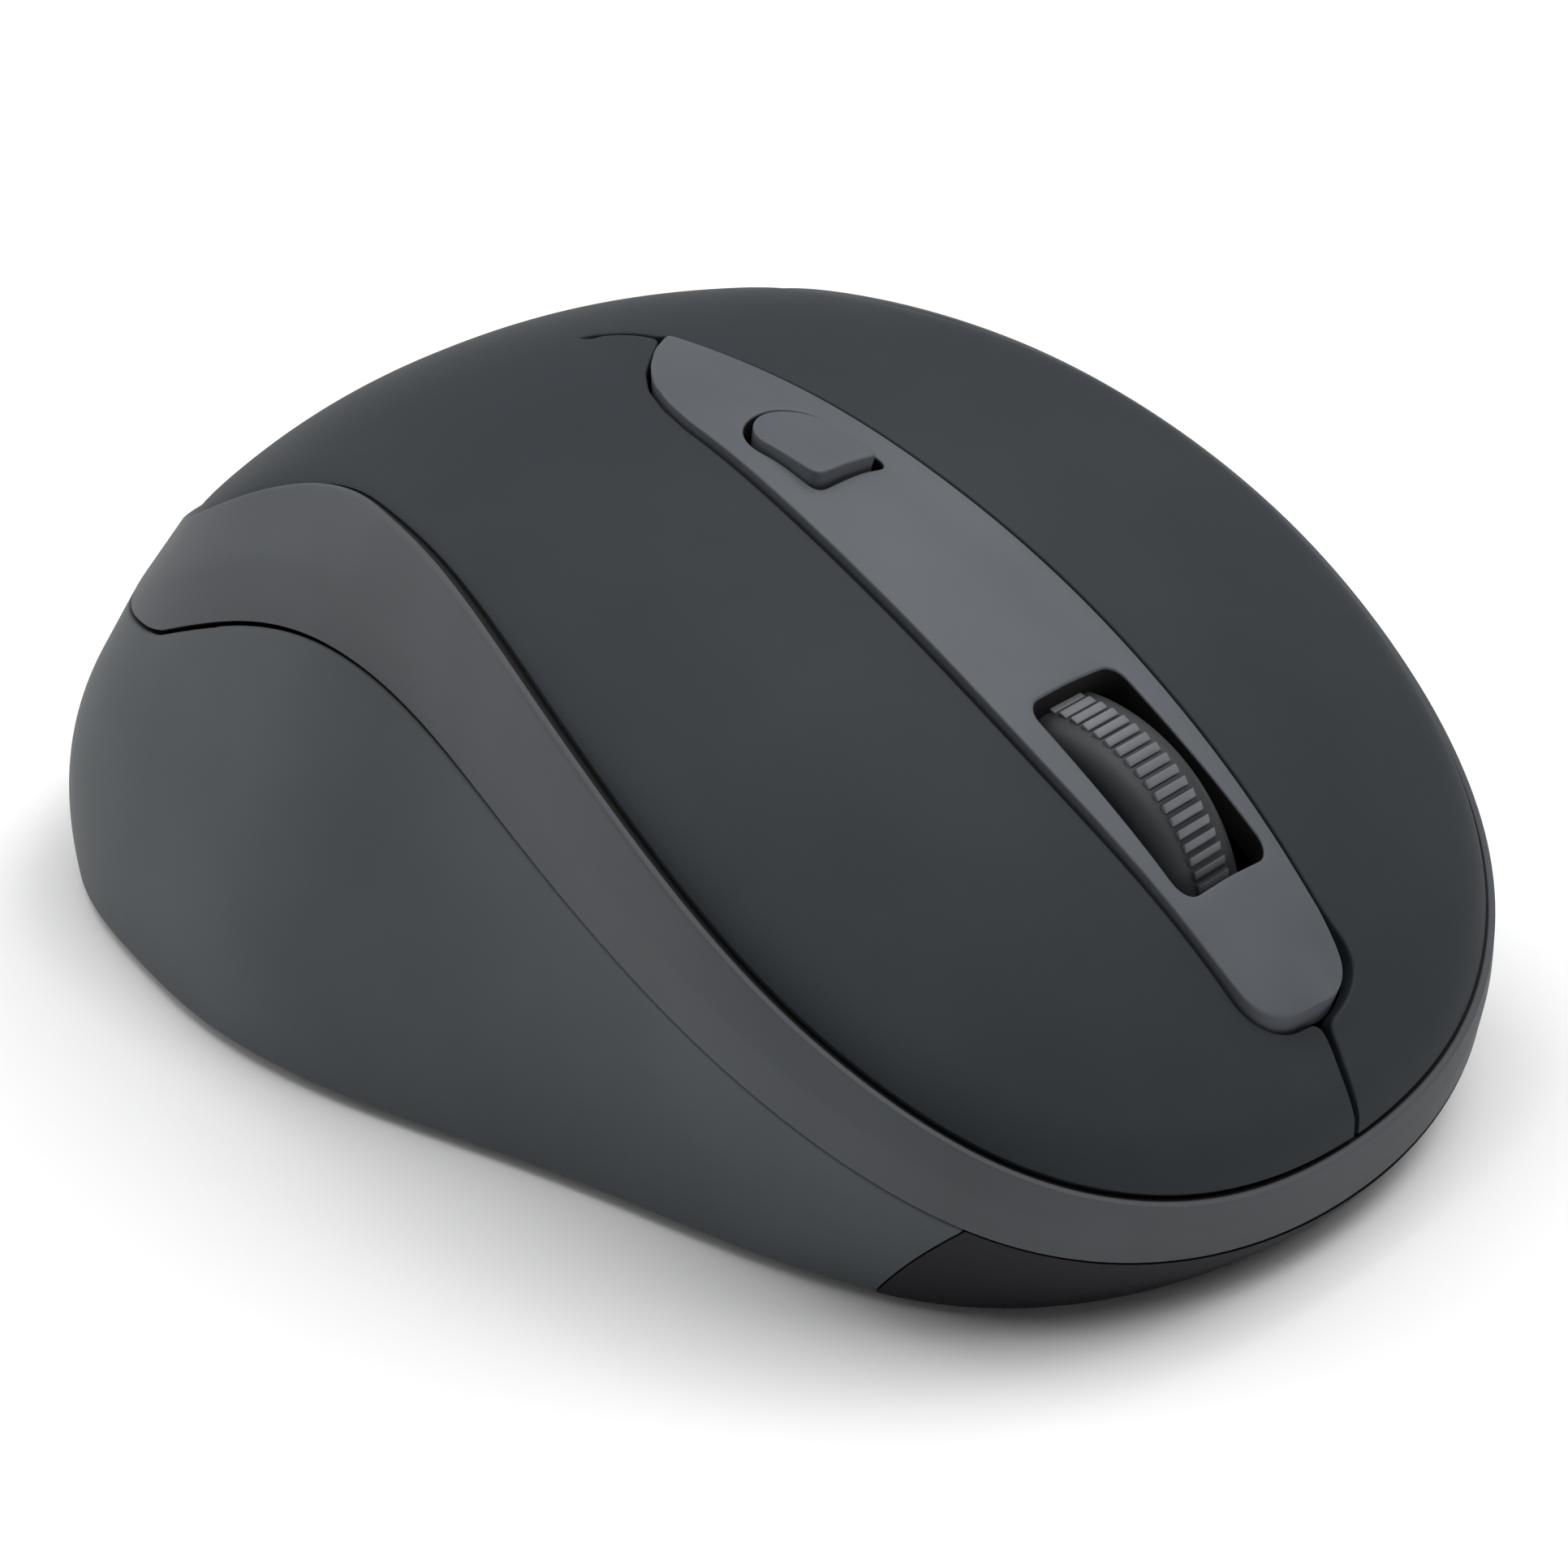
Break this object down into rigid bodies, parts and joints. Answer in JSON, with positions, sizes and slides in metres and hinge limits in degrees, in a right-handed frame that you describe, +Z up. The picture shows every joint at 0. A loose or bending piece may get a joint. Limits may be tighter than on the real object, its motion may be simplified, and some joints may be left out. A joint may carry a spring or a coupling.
{
  "type": "computer mouse",
  "caption": "Wireless computer mouse with two-finger top cover, ribbed scroll wheel, mode button, wrap-round trim band and battery door beneath.",
  "frame": {"origin": "middle of the footprint on the table, at the underside of the feet", "axes": "+Z up, the nose with the buttons points along -Y, the left button is at +X"},
  "size_m": [0.0718, 0.1056, 0.0413],
  "materials": {
    "cover_soft": "matte soft-touch",
    "band_satin": "fine satin",
    "side_satin": "fine satin",
    "base_black": "fine matte grain",
    "strip_satin": "smooth satin",
    "tyre_rubber": "moulded matte rubber",
    "hub_black": "moulded",
    "inner_white": "moulded acetal",
    "inner_black": "moulded",
    "board_green": "solder mask",
    "spring_steel": "plain",
    "plated_steel": "nickel plate",
    "lens_clear": "clear moulding",
    "led_red": "tinted lens",
    "cell_wrap": "printed film, unmarked",
    "foot_pad": "low-friction pad"
  },
  "bodies": {
    "housing": {"base_shell": "base_black", "rear_shell": "side_satin", "trim_band": "band_satin", "palm_cover": "cover_soft", "centre_strip": "strip_satin", "cradle_bracket": "inner_black", "cradle_spring": "spring_steel", "scroll_emitter": "inner_black", "scroll_detector": "inner_black", "circuit_board": "board_green", "board_screws": "spring_steel", "radio_chip": "inner_black", "crystal": "plated_steel", "sensor_chip": "inner_black", "sensor_lens": "lens_clear", "sensor_led": "led_red", "left_switch": "inner_black", "right_switch": "inner_black", "wheel_switch": "inner_black", "mode_board": "board_green", "mode_switch": "inner_black", "battery_box": "inner_black", "left_cell": "cell_wrap", "right_cell": "cell_wrap", "cell_springs": "spring_steel", "cell_plates": "spring_steel", "power_switch": "plated_steel", "front_foot": "foot_pad", "rear_feet": "foot_pad", "case_screws": "spring_steel"},
    "left_finger": {"left_button": "cover_soft"},
    "right_finger": {"right_button": "cover_soft"},
    "left_key_plunger": {"left_plunger": "inner_white"},
    "right_key_plunger": {"right_plunger": "inner_white"},
    "cradle": {"scroll_cradle": "inner_black"},
    "wheel": {"scroll_hub": "hub_black", "scroll_tyre": "tyre_rubber"},
    "wheel_key_plunger": {"wheel_plunger": "inner_white"},
    "mode_key": {"mode_button": "strip_satin", "mode_plunger": "inner_white"},
    "door": {"battery_door": "base_black"},
    "power_knob": {"power_slider": "inner_white"},
    "receiver": {"receiver_cap": "inner_black", "receiver_plug": "plated_steel"}
  },
  "joints": [
    {"name": "left_click", "type": "hinge", "parent": "housing", "child": "left_finger", "pos_m": [0, 0.018, 0.038], "axis": [1, 0, 0], "range_deg": [0, 0.4], "stiffness_Nm_per_rad": 0.5, "springref_deg": -0.46},
    {"name": "right_click", "type": "hinge", "parent": "housing", "child": "right_finger", "pos_m": [0, 0.018, 0.038], "axis": [1, 0, 0], "range_deg": [0, 0.4], "stiffness_Nm_per_rad": 0.5, "springref_deg": -0.46},
    {"name": "left_plunger_slide", "type": "slide", "parent": "housing", "child": "left_key_plunger", "axis": [0, 0, -1], "range_m": [0, 0.0004]},
    {"name": "right_plunger_slide", "type": "slide", "parent": "housing", "child": "right_key_plunger", "axis": [0, 0, -1], "range_m": [0, 0.0004]},
    {"name": "wheel_click", "type": "hinge", "parent": "housing", "child": "cradle", "pos_m": [0, -0.0147, 0.0105], "axis": [1, 0, 0], "range_deg": [0, 2], "stiffness_Nm_per_rad": 0.05, "springref_deg": -1.72, "deforming": ["cradle_spring"]},
    {"name": "wheel_spin", "type": "hinge", "parent": "cradle", "child": "wheel", "pos_m": [0, -0.0282, 0.0161], "axis": [1, 0, 0], "continuous": true},
    {"name": "wheel_plunger_slide", "type": "slide", "parent": "housing", "child": "wheel_key_plunger", "axis": [0, 0, -1], "range_m": [0, 0.0005]},
    {"name": "mode_press", "type": "slide", "parent": "housing", "child": "mode_key", "axis": [0, 0, -1], "range_m": [0, 0.0004], "stiffness_N_per_m": 60, "springref_m": -0.0006},
    {"name": "door_slide", "type": "slide", "parent": "housing", "child": "door", "axis": [0, 1, 0], "range_m": [0, 0.03]},
    {"name": "power_slide", "type": "slide", "parent": "housing", "child": "power_knob", "axis": [0, 1, 0], "range_m": [0, 0.003]},
    {"name": "receiver_pull", "type": "slide", "parent": "housing", "child": "receiver", "axis": [0, 0, -1], "range_m": [0, 0.022]}
  ],
  "couplings": [
    {"joint": "left_plunger_slide", "follows": "left_click", "m_per_rad": 0.0525},
    {"joint": "right_plunger_slide", "follows": "right_click", "m_per_rad": 0.0525},
    {"joint": "wheel_plunger_slide", "follows": "wheel_click", "m_per_rad": 0.014}
  ]
}
